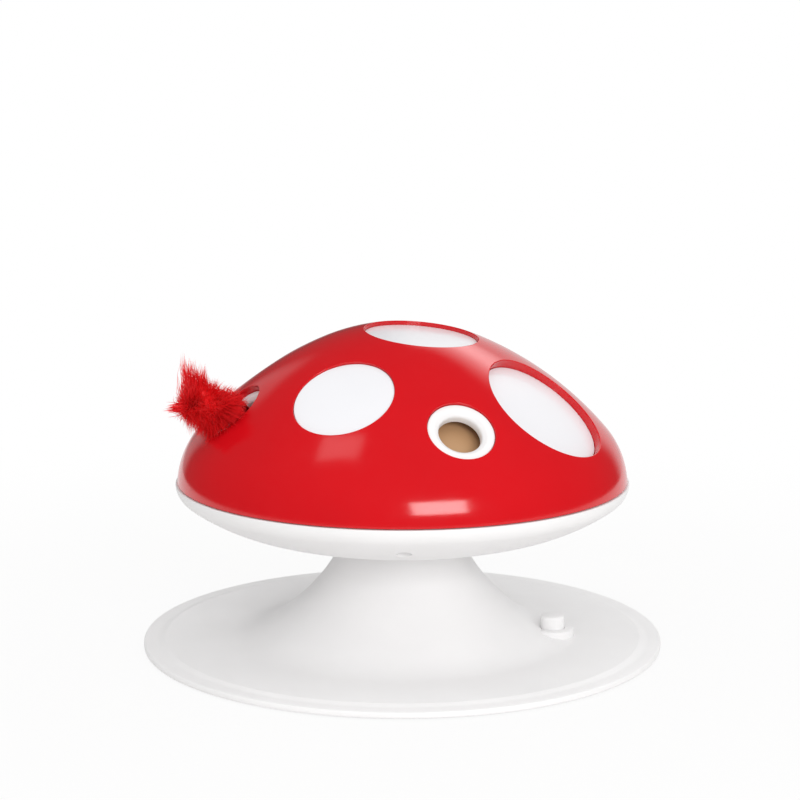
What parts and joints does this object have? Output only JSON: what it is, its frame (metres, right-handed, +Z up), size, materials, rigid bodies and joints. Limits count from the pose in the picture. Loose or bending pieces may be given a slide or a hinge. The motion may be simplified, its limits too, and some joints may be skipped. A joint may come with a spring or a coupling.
{
  "type": "motorised cat teaser toy",
  "caption": "Mushroom-shaped motorised cat toy: a spotted domed cap with round ports over a bowl and flared pedestal; a turning inner dome carries a fur tail past the ports.",
  "frame": {"origin": "centre of the circle of rubber feet, on the floor that the toy stands on", "axes": "+Z up along the toy's axis; -X through the port that holds the fur tail; -Y through the next port anticlockwise from it, seen from above"},
  "size_m": [0.23, 0.23, 0.1424],
  "materials": {
    "white_abs": "glossy moulded ABS",
    "red_abs": "high gloss moulded ABS",
    "disc_white": "glossy",
    "tan_abs": "satin moulded ABS",
    "grey_abs": "satin moulded ABS",
    "white_acetal": "waxy moulded acetal",
    "rubber": "matt",
    "steel": "drawn or ground",
    "bronze": "sintered",
    "cell_sleeve": "printed sleeve",
    "contact": "nickel plated",
    "board": "solder mask",
    "component": "moulded epoxy",
    "lead_sleeve": "extruded PVC",
    "silicone": "matt",
    "fur": "long pile plush"
  },
  "bodies": {
    "housing": {"base_pedestal": "white_abs", "bottom_cover": "white_abs", "rubber_feet": "rubber", "battery_tub": "grey_abs", "battery_cells": "cell_sleeve", "top_contacts": "contact", "push_switch": "component", "switch_board": "board", "lower_shell": "white_abs", "upper_shell": "red_abs", "port_bushes": "white_abs", "motor_can": "steel", "motor_end_bell": "white_acetal", "idler_axles": "steel", "output_bushes": "bronze", "gearbox_base": "grey_abs", "gearbox_cover": "grey_abs", "control_board": "board", "board_components": "component", "switch_leads": "lead_sleeve", "battery_leads": "lead_sleeve", "motor_leads": "lead_sleeve", "spot_disc_top": "disc_white", "spot_disc_front_left": "disc_white", "spot_disc_front_right": "disc_white", "spot_disc_rear_left": "disc_white", "spot_disc_rear_right": "disc_white"},
    "power_key": {"power_button": "white_abs", "switch_plunger": "grey_abs"},
    "door": {"battery_door": "white_abs", "door_contacts": "contact"},
    "motor_rotor": {"motor_shaft": "steel", "motor_pinion": "bronze"},
    "first_idler": {"first_gear": "white_acetal"},
    "second_idler": {"second_gear": "white_acetal"},
    "tail_rotor": {"rotor_drum": "tan_abs", "rotor_screw": "steel", "output_shaft": "steel", "output_gear": "white_acetal", "tail_clip": "grey_abs", "tail_core": "silicone", "tail_fur": "fur"}
  },
  "joints": [
    {"name": "rotor_turn", "type": "hinge", "parent": "housing", "child": "tail_rotor", "pos_m": [0, 0, 0.1], "axis": [0, 0, 1], "continuous": true, "deforming": ["tail_fur", "tail_core"]},
    {"name": "second_idler_spin", "type": "hinge", "parent": "housing", "child": "second_idler", "pos_m": [0, 0.015, 0.085], "axis": [0, 0, 1], "continuous": true},
    {"name": "first_idler_spin", "type": "hinge", "parent": "housing", "child": "first_idler", "pos_m": [0.01299, 0.0225, 0.085], "axis": [0, 0, 1], "continuous": true},
    {"name": "motor_spin", "type": "hinge", "parent": "housing", "child": "motor_rotor", "pos_m": [0.0255, 0.01422, 0.08], "axis": [0, 0, 1], "continuous": true},
    {"name": "power_key_press", "type": "slide", "parent": "housing", "child": "power_key", "axis": [0, 0, -1], "range_m": [0, 0.0015], "stiffness_N_per_m": 400},
    {"name": "door_turn", "type": "hinge", "parent": "housing", "child": "door", "pos_m": [0, 0, 0.002], "axis": [0, 0, 1], "range_deg": [0, 40]}
  ],
  "couplings": [
    {"joint": "second_idler_spin", "follows": "rotor_turn", "ratio": -4},
    {"joint": "first_idler_spin", "follows": "rotor_turn", "ratio": 16},
    {"joint": "motor_spin", "follows": "rotor_turn", "ratio": -64}
  ]
}
